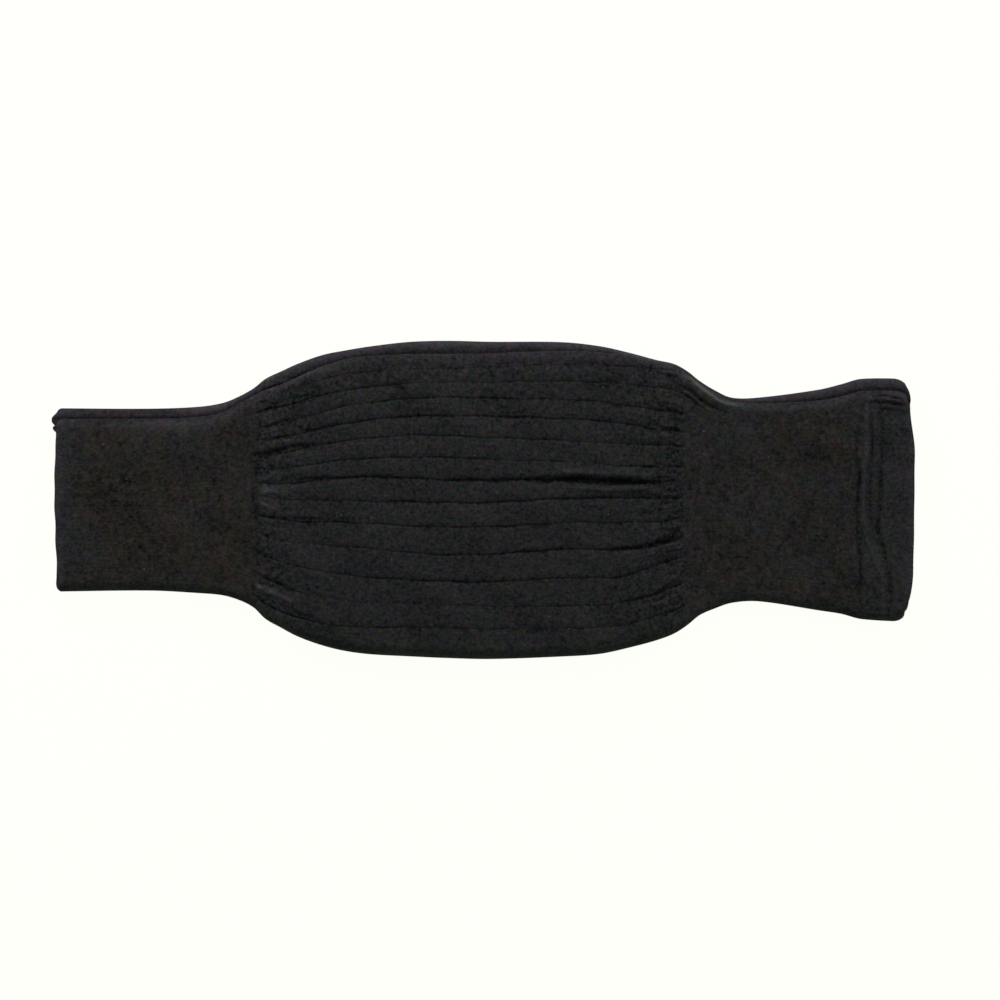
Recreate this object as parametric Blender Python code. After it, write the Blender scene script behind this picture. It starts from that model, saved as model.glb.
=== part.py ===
"""A pair of knitted knee warmers, laid flat with one on top of the other.

Each warmer is a tube of cloth in four pieces: a plain calf cuff, a wide ribbed knee panel gathered
into both cuffs, a plain thigh cuff, and a thigh welt with a stitched band. X runs along the leg
towards the thigh, Y across it and Z up. The origin is under the middle of the pair, at the surface
that it lies on.
"""

from collections import namedtuple
from math import sqrt

import bmesh
import bpy

MM = 0.001

# Driving dimensions, in millimetres. "Along" is measured from the calf end.
LENGTH = 450.0
CALF_SEAM = 105.5
THIGH_SEAM = 327.0
WELT_SEAM = 421.5
SEAM_GAP = 0.3
STACK_GAP = 0.5  # between the two warmers

# The height of a warmer that lies flat, both of its walls and the slit between them.
CUFF_HEIGHT = 4.6
KNEE_HEIGHT = 7.6
CUFF_SLIT = 0.8
KNEE_SLIT = 1.4
FOLD_WALL = 2.4  # the wall at the side folds, seen from above
SWELL = 22.0  # the height grows over this length from a seam into the knee panel
SWELL_BEFORE = 4.0  # and begins this far outside the seam

# The upper warmer's face is softly crowned. Faces that meet another surface stay flat.
CUFF_CROWN = 0.3
KNEE_CROWN = 1.0
UPPER_ROUNDING = 11.0  # how far from a side fold the upper face has risen
LOWER_ROUNDING = 5.0
BACK_ROUNDING = 3.0
DROOP_SHARE = 0.35  # the overhanging fold sinks by this share of the overhang
DROOP_REACH = 8.0

# Ribs of the knee panel.
FACE_GROOVE = 1.3
BACK_GROOVE = 0.8
GROOVE_HALF_WIDTH = 1.7
RIB_CROWN = 0.15
GROOVE_START = 4.0  # the grooves reach their depth this far from a seam
GATHER_START = 6.0  # the gathers' extra depth peaks here
GATHER_REACH = 30.0  # and has gone here
GATHER_EXTRA = 0.35
FAN_REACH = 70.0  # the ribs lean towards the gathers over this length
DEEP_FOLD_END = 8.0  # a deep fold reaches its depth this far from its ends

# The thigh welt and the open ends.
WELT_BAND = 10.0
BAND_RISE = 1.2
BAND_HEIGHT = 0.4
WELT_HEIGHT = 0.25
STITCH_HALF_WIDTH = 0.8
STITCH_DEPTH = 0.15
END_BOW = 2.6  # the thigh end bulges out by this in its middle
BOW_POWER = 3
END_CORNER = 5.0
CORNER_DRAWN_IN = 3.0  # how much narrower the very end is on each side
LIP = 0.5  # rounding of a cloth edge
LIP_LENGTH = 0.9
LIP_SIDE = 30.0  # the edge is drawn in fully this far from the middle line

# The outline seen from above. Edges are measured from the middle line; the lower warmer shows
# beyond the upper one by "peek" along the upper edge, and both are equally wide.
Outline = namedtuple("Outline", "along upper_edge lower_edge peek")
OUTLINE = (
    Outline(0.0, 47.5, 47.0, 4.5),
    Outline(50.0, 47.5, 47.0, 4.5),
    Outline(75.0, 48.5, 48.5, 4.5),
    Outline(88.0, 50.5, 50.0, 4.5),
    Outline(97.0, 53.5, 52.5, 5.0),
    Outline(104.0, 57.5, 56.0, 5.5),
    Outline(110.0, 62.5, 61.5, 5.0),
    Outline(118.0, 66.5, 66.0, 4.5),
    Outline(127.0, 70.5, 70.5, 4.5),
    Outline(140.0, 75.0, 75.5, 5.0),
    Outline(160.0, 79.0, 79.5, 5.5),
    Outline(185.0, 82.0, 81.5, 5.5),
    Outline(225.0, 82.5, 82.5, 5.5),
    Outline(265.0, 81.5, 81.0, 4.0),
    Outline(285.0, 80.0, 80.0, 3.0),
    Outline(300.0, 76.5, 77.0, 2.5),
    Outline(315.0, 73.0, 73.0, 2.0),
    Outline(324.0, 70.0, 69.0, 1.5),
    Outline(331.0, 66.0, 64.0, 1.5),
    Outline(337.0, 61.5, 59.5, 1.5),
    Outline(345.0, 57.0, 56.0, 1.5),
    Outline(354.0, 53.0, 53.0, 2.0),
    Outline(368.0, 53.0, 52.5, 2.5),
    Outline(400.0, 57.5, 57.0, 5.5),
    Outline(422.0, 63.0, 61.5, 6.5),
    Outline(450.0, 63.5, 63.0, 6.5),
)

# The grooves between the ribs, from the upper edge down: the share of the width at mid length, and
# how far each is shifted towards the lower edge where it reaches the calf and thigh gathers.
Groove = namedtuple("Groove", "across calf_shift thigh_shift")
GROOVES = (
    Groove(0.053, -1.5, -2.0),
    Groove(0.099, -0.5, -1.0),
    Groove(0.148, 2.5, 3.0),
    Groove(0.207, 2.0, 4.0),
    Groove(0.273, 2.0, 3.5),
    Groove(0.345, 0.5, 4.0),
    Groove(0.418, 0.0, 1.5),
    Groove(0.490, -1.5, 0.5),
    Groove(0.572, -0.5, 0.5),
    Groove(0.658, -2.0, -1.0),
    Groove(0.747, -2.5, -3.5),
    Groove(0.829, -0.5, -0.5),
    Groove(0.905, 3.0, 1.0),
)

# The deepest folds: stretches where a groove of the upper face closes into a slit.
DeepFold = namedtuple("DeepFold", "groove start end extra")
DEEP_FOLDS = (
    DeepFold(3, 106.0, 124.0, 0.5),
    DeepFold(5, 108.0, 136.0, 0.8),
    DeepFold(7, 120.0, 162.0, 0.5),
    DeepFold(12, 110.0, 128.0, 0.5),
    DeepFold(4, 310.0, 325.0, 0.4),
    DeepFold(7, 254.0, 320.0, 0.9),
    DeepFold(10, 284.0, 325.0, 0.8),
)

# Where the rings of points of each piece stand, between its two ends.
CALF_CUFF_RINGS = (25.0, 55.0, 74.0, 86.0, 95.0, 101.0)
KNEE_RINGS = (
    107.5, 110.5, 114.5, 120.0, 128.0, 138.0, 152.0, 170.0, 192.0,
    216.0, 240.0, 262.0, 276.0, 288.0, 298.0, 306.0, 313.0, 319.0, 323.5,
)  # fmt: skip
KNEE_INSIDE_RINGS = (110.5, 120.0, 138.0, 170.0, 216.0, 262.0, 288.0, 306.0, 319.0)
THIGH_CUFF_RINGS = (331.0, 335.0, 340.0, 347.0, 356.0, 370.0, 390.0, 408.0)

# Where the points of a ring stand, as shares across from a side fold to the middle. On the knee
# panel they are shares of its edge rib.
PLAIN_SHARES = (0.0, 0.004, 0.015, 0.04, 0.09, 0.18, 0.33, 0.5)
INSIDE_SHARES = (0.0, 0.01, 0.05, 0.15, 0.32, 0.5)
EDGE_RIB_SHARES = (0.0, 0.03, 0.12, 0.34, 0.66)

CUFF_COLOUR = (0.0145, 0.0130, 0.0118, 1.0)
RIB_COLOUR = (0.0130, 0.0135, 0.0140, 1.0)
KNIT_ROUGHNESS = 0.95

# A cross-section of one warmer: its place, its middle line and half width, the heights of its
# back, side folds and face, the face's crown, and how far its middle bulges along the leg.
Section = namedtuple("Section", "along middle half back fold face crown bow on_top")


def blend(value, start, end):
    """0 before start, 1 after end and a smooth rise between them."""
    t = min(max((value - start) / (end - start), 0.0), 1.0)
    return t * t * (3.0 - 2.0 * t)


def outline(along):
    """The outline at a place along the garment, on a smooth curve through the table's rows."""
    place = min(max(along, 0.0), LENGTH)
    i = max(k for k, row in enumerate(OUTLINE[:-1]) if row.along <= place)
    before, start, end, after = (
        OUTLINE[min(max(k, 0), len(OUTLINE) - 1)] for k in (i - 1, i, i + 1, i + 2)
    )
    span = end.along - start.along
    t = (place - start.along) / span

    def curve(column):
        a, b, c, d = (getattr(row, column) for row in (before, start, end, after))
        leave = (c - a) / (end.along - before.along) * span
        arrive = (d - b) / (after.along - start.along) * span
        return (
            b * (1 + 2 * t) * (1 - t) ** 2
            + leave * t * (1 - t) ** 2
            + c * t * t * (3 - 2 * t)
            - arrive * t * t * (1 - t)
        )

    return Outline(along, curve("upper_edge"), curve("lower_edge"), curve("peek"))


def between(cuff, knee, along):
    """A size that differs from the cuffs to the knee panel, and changes smoothly at the seams."""
    rising = blend(along, CALF_SEAM - SWELL_BEFORE, CALF_SEAM + SWELL)
    falling = blend(along, THIGH_SEAM - SWELL, THIGH_SEAM + SWELL_BEFORE)
    return cuff + (knee - cuff) * (rising - falling)


def section(on_top, along, bow=0.0):
    """The cross-section of the upper (on_top) or lower warmer at a place along it."""
    row = outline(along)
    middle = (row.upper_edge - row.lower_edge - row.peek) / 2 + (0.0 if on_top else row.peek)
    corner = max(along - (LENGTH - END_CORNER), 0.0) / END_CORNER
    half = (row.upper_edge + row.lower_edge - row.peek) / 2
    half -= CORNER_DRAWN_IN * (1 - sqrt(1 - corner * corner))
    height = between(CUFF_HEIGHT, KNEE_HEIGHT, along)
    back = height + STACK_GAP if on_top else 0.0
    crown = between(CUFF_CROWN, KNEE_CROWN, along) if on_top else 0.0
    return Section(along, middle, half, back, back + height / 2, back + height, crown, bow, on_top)


def rise(distance, reach):
    """How far a wall has risen from its side fold: a quarter of an ellipse, then flat."""
    return sqrt(1 - (1 - min(distance, reach) / reach) ** 2)


def arch(share):
    """0 at the side folds and 1 in the middle."""
    return 1 - (1 - 2 * share) ** 2


def placed(cut, half, share, z):
    """A ring's point: across the tube by its share, sunk where the upper warmer overhangs."""
    y = cut.middle + half * (1 - 2 * share)
    if cut.on_top:
        inside = min(y - (cut.middle - cut.half), DROOP_REACH)
        z -= DROOP_SHARE * outline(cut.along).peek * (1 - inside / DROOP_REACH) ** 2
    x = cut.along - LENGTH / 2 + cut.bow * (1 - abs(1 - 2 * share) ** BOW_POWER)
    return x, y, z


def groove_shares(cut):
    """Where the grooves cross the panel, as shares of its width."""
    calf = 1 - blend(cut.along, CALF_SEAM, CALF_SEAM + FAN_REACH)
    thigh = blend(cut.along, THIGH_SEAM - FAN_REACH, THIGH_SEAM)
    return [
        g.across + (g.calf_shift * calf + g.thigh_shift * thigh) / (2 * cut.half)
        for g in GROOVES
    ]


def groove_depth(number, along, face):
    """How deep a groove is: deeper in the gathers and in the face's deep folds."""
    nearest = min(along - CALF_SEAM, THIGH_SEAM - along)
    depth = (FACE_GROOVE if face else BACK_GROOVE) * blend(nearest, -GROOVE_START, GROOVE_START)
    gathered = blend(nearest, 0, GATHER_START) * (1 - blend(nearest, GATHER_START, GATHER_REACH))
    depth += GATHER_EXTRA * gathered
    for fold in DEEP_FOLDS:
        if face and fold.groove == number:
            from_end = min(along - fold.start, fold.end - along)
            depth += fold.extra * blend(from_end, 0, DEEP_FOLD_END)
    return depth


def ribbed_points(cut, face):
    """(share across, depth) of the points over a ribbed wall, whose edge ribs wrap its folds."""
    shares = groove_shares(cut)
    shoulder = GROOVE_HALF_WIDTH / (2 * cut.half)
    first, last = shares[0] - shoulder, shares[-1] + shoulder
    points = [(first * s, 0.0) for s in EDGE_RIB_SHARES]
    for k, share in enumerate(shares):
        points.append((share - shoulder, 0.0))
        points.append((share, groove_depth(k + 1, cut.along, face)))
        points.append((share + shoulder, 0.0))
        if face and k + 1 < len(shares):
            points.append(((share + shares[k + 1]) / 2, -RIB_CROWN))
    points += [(1 - (1 - last) * s, 0.0) for s in reversed(EDGE_RIB_SHARES)]
    return points


def mirrored(shares):
    """Shares from a side fold to the middle, and on to the other fold."""
    return shares + tuple(1 - s for s in reversed(shares[:-1]))


def outer_ring(cut, face_points, back_points, raised=0.0):
    """The points round the outside of the tube, each with its place round it from 0 to 2."""
    reach = UPPER_ROUNDING if cut.on_top else LOWER_ROUNDING
    crown = cut.crown + raised if cut.on_top else 0.0
    points = []
    for share, depth in face_points:
        risen = rise(2 * cut.half * min(share, 1 - share), reach)
        z = cut.fold + (cut.face - cut.fold - depth) * risen + crown * arch(share)
        points.append((share, placed(cut, cut.half, share, z)))
    for share, depth in reversed(back_points[1:-1]):
        risen = rise(2 * cut.half * min(share, 1 - share), BACK_ROUNDING)
        z = cut.fold - (cut.fold - cut.back - depth) * risen
        points.append((2 - share, placed(cut, cut.half, share, z)))
    return points


def plain_ring(cut, raised=0.0):
    points = [(share, 0.0) for share in mirrored(PLAIN_SHARES)]
    return outer_ring(cut, points, points, raised)


def lip_ring(cut):
    """The ring at a cloth edge, drawn in so that the edge is rounded. What rests stays flat."""
    points = []
    for place, (x, y, z) in plain_ring(cut):
        side = y - cut.middle
        y -= LIP * blend(abs(side), 0, LIP_SIDE) * (1 if side > 0 else -1)
        if z > cut.fold:
            z = max(z - LIP, cut.fold)
        elif cut.on_top:
            z = max(z, cut.back + LIP)
        points.append((place, (x, y, z)))
    return points


def inner_ring(cut, widen=0.0):
    """The points round the slit inside the tube: plain, whatever ribs the outside has."""
    slit = between(CUFF_SLIT, KNEE_SLIT, cut.along) / 2 + widen
    half = cut.half - FOLD_WALL
    shares = mirrored(INSIDE_SHARES)
    points = []
    for share in shares:
        risen = rise(2 * half * min(share, 1 - share), UPPER_ROUNDING)
        z = cut.fold + slit * risen + cut.crown * arch(share)
        points.append((share, placed(cut, half, share, z)))
    for share in reversed(shares[1:-1]):
        risen = rise(2 * half * min(share, 1 - share), BACK_ROUNDING)
        points.append((2 - share, placed(cut, half, share, cut.fold - slit * risen)))
    return points


def skin(bm, rings):
    """Rows of corners for the rings, with a face between each pair of neighbours."""
    rows = [[bm.verts.new([c * MM for c in p]) for _, p in points] for points in rings]
    for one, two in zip(rows, rows[1:]):
        for i in range(len(one)):
            j = (i + 1) % len(one)
            bm.faces.new((one[i], one[j], two[j], two[i]))
    return rows


def close_end(bm, outer_points, outer_row, inner_points, inner_row):
    """The cloth's edge, from the outer ring to the inner one, which has fewer corners."""
    outer = [place for place, _ in outer_points] + [2.0]
    inner = [place for place, _ in inner_points] + [2.0]
    i = j = 0
    while i < len(outer_row) or j < len(inner_row):
        a, b = outer_row[i % len(outer_row)], inner_row[j % len(inner_row)]
        if j == len(inner_row) or (i < len(outer_row) and outer[i + 1] <= inner[j + 1]):
            i += 1
            bm.faces.new((a, outer_row[i % len(outer_row)], b))
        else:
            j += 1
            bm.faces.new((a, inner_row[j % len(inner_row)], b))


def tube(name, outer_rings, inner_rings, material):
    """A closed wall of cloth between its outer and inner rings."""
    bm = bmesh.new()
    outer, inner = skin(bm, outer_rings), skin(bm, inner_rings)
    close_end(bm, outer_rings[0], outer[0], inner_rings[0], inner[0])
    close_end(bm, outer_rings[-1], outer[-1], inner_rings[-1], inner[-1])
    bmesh.ops.recalc_face_normals(bm, faces=bm.faces)
    mesh = bpy.data.meshes.new(name)
    bm.to_mesh(mesh)
    bm.free()
    mesh.shade_smooth()
    mesh.materials.append(material)
    bpy.context.scene.collection.objects.link(bpy.data.objects.new(name, mesh))


def knit(name, colour):
    material = bpy.data.materials.new(name)
    material.use_nodes = True
    shader = material.node_tree.nodes["Principled BSDF"]
    shader.inputs["Base Color"].default_value = colour
    shader.inputs["Roughness"].default_value = KNIT_ROUGHNESS
    shader.inputs["Metallic"].default_value = 0.0
    return material


def calf_cuff(name, on_top, material):
    """A plain cuff with an open, rounded edge, which flares out to the knee panel's gathers."""
    edge = section(on_top, 0.0)
    places = (LIP_LENGTH, *CALF_CUFF_RINGS, CALF_SEAM - SEAM_GAP / 2)
    cuts = [section(on_top, along) for along in places]
    outer = [lip_ring(edge)] + [plain_ring(cut) for cut in cuts]
    inner = [inner_ring(edge, LIP / 2)] + [inner_ring(cut) for cut in cuts[1:]]
    tube(f"{name}_calf_cuff", outer, inner, material)


def knee_panel(name, on_top, material):
    """The ribbed panel. The underside that rests on the surface is flat, without ribs."""
    start, end = CALF_SEAM + SEAM_GAP / 2, THIGH_SEAM - SEAM_GAP / 2
    flat = [(share, 0.0) for share in mirrored(PLAIN_SHARES)]
    outer = []
    for along in (start, *KNEE_RINGS, end):
        cut = section(on_top, along)
        back = ribbed_points(cut, face=False) if on_top else flat
        outer.append(outer_ring(cut, ribbed_points(cut, face=True), back))
    places = (start, *KNEE_INSIDE_RINGS, end)
    inner = [inner_ring(section(on_top, along)) for along in places]
    tube(f"{name}_knee_panel", outer, inner, material)


def thigh_cuff(name, on_top, material):
    """A plain cuff that narrows above the knee and widens again up the thigh."""
    places = (THIGH_SEAM + SEAM_GAP / 2, *THIGH_CUFF_RINGS, WELT_SEAM - SEAM_GAP / 2)
    cuts = [section(on_top, along) for along in places]
    outer = [plain_ring(cut) for cut in cuts]
    inner = [inner_ring(cut) for cut in cuts]
    tube(f"{name}_thigh_cuff", outer, inner, material)


def thigh_welt(name, on_top, material):
    """The turned welt: a raised band beside its seam, a line of stitches, then the open end."""
    start = WELT_SEAM + SEAM_GAP / 2
    stitch = WELT_SEAM + WELT_BAND
    edge = LENGTH - END_BOW
    raised_at = (
        (start, 0.0),
        (start + BAND_RISE, BAND_HEIGHT),
        (stitch - STITCH_HALF_WIDTH, BAND_HEIGHT),
        (stitch, -STITCH_DEPTH),
        (stitch + STITCH_HALF_WIDTH, WELT_HEIGHT),
        (edge - END_CORNER, WELT_HEIGHT),
        (edge - END_CORNER / 2, WELT_HEIGHT),
        (edge - LIP_LENGTH, WELT_HEIGHT / 2),
    )

    def cut_at(along):
        return section(on_top, along, END_BOW * blend(along, start, edge))

    outer = [plain_ring(cut_at(along), raised) for along, raised in raised_at]
    outer.append(lip_ring(cut_at(edge)))
    inner = [inner_ring(cut_at(along)) for along in (start, stitch, edge - END_CORNER)]
    inner.append(inner_ring(cut_at(edge), LIP / 2))
    tube(f"{name}_thigh_welt", outer, inner, material)


for old in list(bpy.data.objects):
    bpy.data.objects.remove(old, do_unlink=True)

cuff_knit = knit("cuff_knit", CUFF_COLOUR)
rib_knit = knit("rib_knit", RIB_COLOUR)
for warmer, is_on_top in (("lower", False), ("upper", True)):
    calf_cuff(warmer, is_on_top, cuff_knit)
    knee_panel(warmer, is_on_top, rib_knit)
    thigh_cuff(warmer, is_on_top, cuff_knit)
    thigh_welt(warmer, is_on_top, cuff_knit)
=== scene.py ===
# A pair of knitted knee warmers, laid flat one on top of the other, so that the lower one shows as a
# strip along the far edge. X runs along the leg towards the thigh, Y across it and Z up. Sizes are
# in millimetres, and "along" is measured from the calf end. What all the pieces share comes with
# the first of them, the calf cuffs.
from collections import namedtuple

import bpy
import numpy as np
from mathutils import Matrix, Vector


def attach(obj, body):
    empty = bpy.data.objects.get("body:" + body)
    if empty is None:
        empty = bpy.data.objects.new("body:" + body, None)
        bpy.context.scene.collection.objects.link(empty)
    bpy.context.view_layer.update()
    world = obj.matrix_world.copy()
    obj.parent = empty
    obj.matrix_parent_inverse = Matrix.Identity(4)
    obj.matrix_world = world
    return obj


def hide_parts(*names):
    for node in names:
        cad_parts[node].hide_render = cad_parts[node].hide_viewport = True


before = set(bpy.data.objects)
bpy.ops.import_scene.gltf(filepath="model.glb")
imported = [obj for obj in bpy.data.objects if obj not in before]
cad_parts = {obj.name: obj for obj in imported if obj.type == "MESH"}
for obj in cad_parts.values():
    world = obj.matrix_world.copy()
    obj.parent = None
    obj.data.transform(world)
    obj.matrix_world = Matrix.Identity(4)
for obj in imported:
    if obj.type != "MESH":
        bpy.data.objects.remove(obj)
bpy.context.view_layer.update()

# -------------------------------------------------------------------------------------------------
# Calf cuffs. A calf cuff is a narrow tube of fine plain knit in brownish black wool, with a turned
# welt at its free end, and it flares towards the gathers of the knee panel. Laid flat it is two
# layers with a slit between them, and its side folds are springy, so they stand a little proud.
# -------------------------------------------------------------------------------------------------
MM = 0.001
WARMERS = ("lower", "upper")
LENGTH = 450.0
CALF_SEAM, THIGH_SEAM = 105.5, 327.0
SEAM_GAP = 0.01  # between the pieces of one warmer, which are joined through the knit
STACK_GAP = 0.5  # between the two warmers

# The whole garment's outline, in rows of: along, its upper and its lower edge from the middle line,
# and "peek", by which the lower warmer shows beyond the upper one. Both are equally wide.
OUTLINE = (
    (0.0, 47.8, 48.2, 5.8),
    (50.0, 47.6, 47.7, 5.3),
    (75.0, 48.6, 49.0, 5.4),
    (88.0, 50.7, 50.2, 4.9),
    (97.0, 54.4, 52.9, 3.7),
    (104.0, 58.4, 56.6, 4.0),
    (110.0, 63.2, 62.4, 5.9),
    (118.0, 67.0, 66.9, 7.1),
    (127.0, 71.1, 71.6, 7.2),
    (140.0, 75.7, 76.3, 6.1),
    (152.0, 78.1, 79.2, 4.8),
    (165.0, 80.2, 80.9, 5.1),
    (185.0, 82.5, 82.0, 6.5),
    (205.0, 83.1, 82.9, 7.0),
    (228.0, 82.6, 83.4, 6.1),
    (265.0, 82.4, 82.1, 4.8),
    (285.0, 80.3, 80.7, 3.4),
    (300.0, 77.0, 77.5, 2.5),
    (315.0, 73.0, 73.5, 2.0),
    (324.0, 71.0, 70.1, 1.6),
    (331.0, 67.2, 65.6, 1.6),
    (337.0, 62.4, 60.7, 1.6),
    (345.0, 57.4, 57.1, 1.6),
    (354.0, 53.4, 54.1, 1.9),
    (368.0, 53.4, 53.3, 3.2),
    (400.0, 57.6, 58.1, 5.7),
    (411.5, 60.4, 59.9, 6.4),
    (422.0, 63.2, 62.6, 6.5),
    (450.0, 63.2, 64.2, 6.5),
)

# Heights of a flat warmer over both its layers, in the cuffs and in the ribbed panel, with the slit
# between the layers and the bulge of the upper warmer's middle. They change close to the seams.
CUFF_HEIGHT, KNEE_HEIGHT = 4.6, 7.6
CUFF_SLIT, KNEE_SLIT = 0.8, 1.4
CUFF_CROWN, KNEE_CROWN = 0.3, 1.0
CHANGE_AFTER, CHANGE_BEFORE = 22.0, 4.0  # into the panel, and into the cuffs

# Side folds: how far each wall takes to rise, the proud ridge along them and the dip behind it.
FACE_REACH, BACK_REACH, SLIT_REACH = 6.0, 3.0, 11.0
FOLD_WALL = 2.4  # from the side fold to the slit
EDGE_RIDGE, EDGE_RIDGE_AT, EDGE_RIDGE_WIDTH = 0.25, 3.0, 1.8
EDGE_DIP, EDGE_DIP_AT, EDGE_DIP_WIDTH = 0.1, 7.6, 2.4
DROOP_SHARE = 0.35  # the overhanging fold sinks by this share of the overhang
DROOP_REACH = 8.0

# The thigh end bulges in its middle and has round corners; the calf end is nearly straight.
END_BOW, BOW_START, BOW_POWER = 3.0, 421.5, 3
THIGH_CORNER, THIGH_CORNER_IN = 7.2, 5.6
CALF_CORNER, CALF_CORNER_IN = 1.4, 0.8
CALF_END = 1.55
THIGH_END = LENGTH - END_BOW - 1.4


def ease(value, start, end):
    """0 before start, 1 after end and a smooth rise between them."""
    t = np.clip((value - start) / (end - start), 0, 1)
    return t * t * (3 - 2 * t)


def over(along, start, end):
    """1 over a stretch along, and 0 outside. It starts and ends softly, each from place to place."""
    return ease(along, *start) - ease(along, *end)


def bump(value, middle, width):
    """1 in the middle, falling off softly to both sides."""
    return np.exp(-(((value - middle) / width) ** 2))


def through(rows, along):
    """Smooth curves through a table's rows, whose first column is the place along."""
    table = np.array(rows, float)
    last = len(table) - 1
    place = np.clip(along, table[0, 0], table[last, 0])
    i = np.clip(np.searchsorted(table[:, 0], place, side="right") - 1, 0, last - 1)
    before, start = table[np.maximum(i - 1, 0)], table[i]
    end, after = table[i + 1], table[np.minimum(i + 2, last)]
    span = (end - start)[..., :1]
    t = (np.asarray(place)[..., None] - start[..., :1]) / span
    leave = (end - before) / (end - before)[..., :1] * span
    arrive = (after - start) / (after - start)[..., :1] * span
    curve = start * (1 + 2 * t) * (1 - t) ** 2 + leave * t * (1 - t) ** 2
    curve += end * t * t * (3 - 2 * t) - arrive * t * t * (1 - t)
    return np.moveaxis(curve[..., 1:], -1, 0)


def between(cuff, knee, along):
    """A size that differs from the cuffs to the knee panel, and changes smoothly at the seams."""
    panel = over(along, (CALF_SEAM - CHANGE_BEFORE, CALF_SEAM + CHANGE_AFTER),
                 (THIGH_SEAM - CHANGE_AFTER, THIGH_SEAM + CHANGE_BEFORE))
    return cuff + (knee - cuff) * panel


Section = namedtuple("Section", "middle half back height crown peek")


def section(warmer, along):
    """A warmer's cross-section: its middle line, half width, heights and how far it is offset."""
    upper_edge, lower_edge, peek = through(OUTLINE, along)
    on_top = warmer == "upper"
    middle = (upper_edge - lower_edge - peek) / 2 + (0 if on_top else peek)
    thigh = np.clip(along - (THIGH_END - THIGH_CORNER), 0, THIGH_CORNER) / THIGH_CORNER
    calf = np.clip(CALF_END + CALF_CORNER - along, 0, CALF_CORNER) / CALF_CORNER
    half = (upper_edge + lower_edge - peek) / 2
    half = half - THIGH_CORNER_IN * (1 - np.sqrt(1 - thigh**2))
    half = half - CALF_CORNER_IN * (1 - np.sqrt(1 - calf**2))
    height = between(CUFF_HEIGHT, KNEE_HEIGHT, along)
    back = height + STACK_GAP if on_top else 0 * height
    crown = between(CUFF_CROWN, KNEE_CROWN, along) if on_top else 0 * height
    return Section(middle, half, back, height, crown, peek)


# The free calf edge wanders a little, and bulges in its middle. A small ear of cloth sticks out at
# the lower warmer's corner, and a smaller tip beside it at the upper one's. The thigh end bulges
# above its middle, and the lower warmer's end is tucked under at its lower fold.
Wave = namedtuple("Wave", "height reach phase")
WANDER, WANDER_FADE = (Wave(0.25, 7.3, 1.1), Wave(0.15, 2.9, 0.0)), 9.0
Bulge = namedtuple("Bulge", "out across width")
CALF_BULGE = Bulge(0.9, 3.0, 17.0)
EARS = {"lower": Bulge(3.2, 42.6, 2.6), "upper": Bulge(1.9, 38.3, 1.0)}
THIGH_BULGES = (Bulge(0.95, 28.0, 11.0), Bulge(1.1, 56.0, 6.5), Bulge(0.4, -41.0, 8.0),
                Bulge(-0.8, -57.5, 5.5))
TUCK, TUCK_FROM, TUCK_TO = {"lower": 3.0, "upper": 0.0}, 15.0, 60.0


def waved(waves, value, turn=1.0):
    """The sum of some waves at a value, with all their phases turned."""
    return sum(wave.height * np.sin(value / wave.reach + wave.phase * turn) for wave in waves)


def end_wander(warmer, along, across):
    """How far the unevenness of the free ends moves a point along."""
    calf = waved(WANDER, across)
    for bulge in (CALF_BULGE, EARS[warmer]):
        calf = calf - bulge.out * bump(across, bulge.across, bulge.width)
    thigh = -TUCK[warmer] * ease(-across, TUCK_FROM, TUCK_TO)
    for bulge in THIGH_BULGES:
        thigh = thigh + bulge.out * bump(across, bulge.across, bulge.width)
    calf = calf * (1 - ease(along, CALF_END, CALF_END + WANDER_FADE)) ** 2
    return calf + thigh * ease(along, BOW_START, THIGH_END)


def share_across(place):
    """Places run round a tube from 0 at the upper fold to 1 at the lower one and back to 2."""
    return 1 - abs(1 - place)


def laid(warmer, cut, along, place, half, z):
    """A ring's points: across the tube by their share, sunk where the upper warmer overhangs."""
    inward = 1 - 2 * share_across(place)
    y = cut.middle + half * inward
    if warmer == "upper":
        from_fold = np.clip(y - (cut.middle - cut.half), 0, DROOP_REACH)
        z = z - DROOP_SHARE * cut.peek * (1 - from_fold / DROOP_REACH) ** 2
    bow = END_BOW * ease(along, BOW_START, THIGH_END) * (1 - abs(inward) ** BOW_POWER)
    x = along - LENGTH / 2 + bow + end_wander(warmer, along, cut.middle + cut.half * inward)
    return np.stack(np.broadcast_arrays(x, y, z), axis=-1)


def risen(inset, reach):
    """How far a wall has risen at its distance from the side fold: a quarter of an ellipse."""
    return np.sqrt(1 - (1 - np.clip(inset, 0, reach) / reach) ** 2)


def outside(warmer, along, place, raised):
    """Points on the outside of a tube, raised off its plain form by a height at each point."""
    along = along[:, None]
    cut = section(warmer, along)
    share = share_across(place)
    inset = 2 * cut.half * np.minimum(share, 1 - share)
    fold = cut.back + cut.height / 2
    edge = EDGE_RIDGE * bump(inset, EDGE_RIDGE_AT, EDGE_RIDGE_WIDTH)
    edge = edge - EDGE_DIP * bump(inset, EDGE_DIP_AT, EDGE_DIP_WIDTH)
    face = cut.height / 2 + raised + (edge if warmer == "upper" else 0)
    face = fold + face * risen(inset, FACE_REACH) + cut.crown * (1 - (1 - 2 * share) ** 2)
    back = fold - (cut.height / 2 + raised) * risen(inset, BACK_REACH)
    return laid(warmer, cut, along, place, cut.half, np.where(place <= 1, face, back))


# The slit opens a little at the free ends, more in some places across than in others.
GAPE, GAPE_REACH = 0.45, 14.0
GAPE_UNEVEN, GAPE_TURN, GAPE_PHASE = 0.35, 9.0, 1.0


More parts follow.
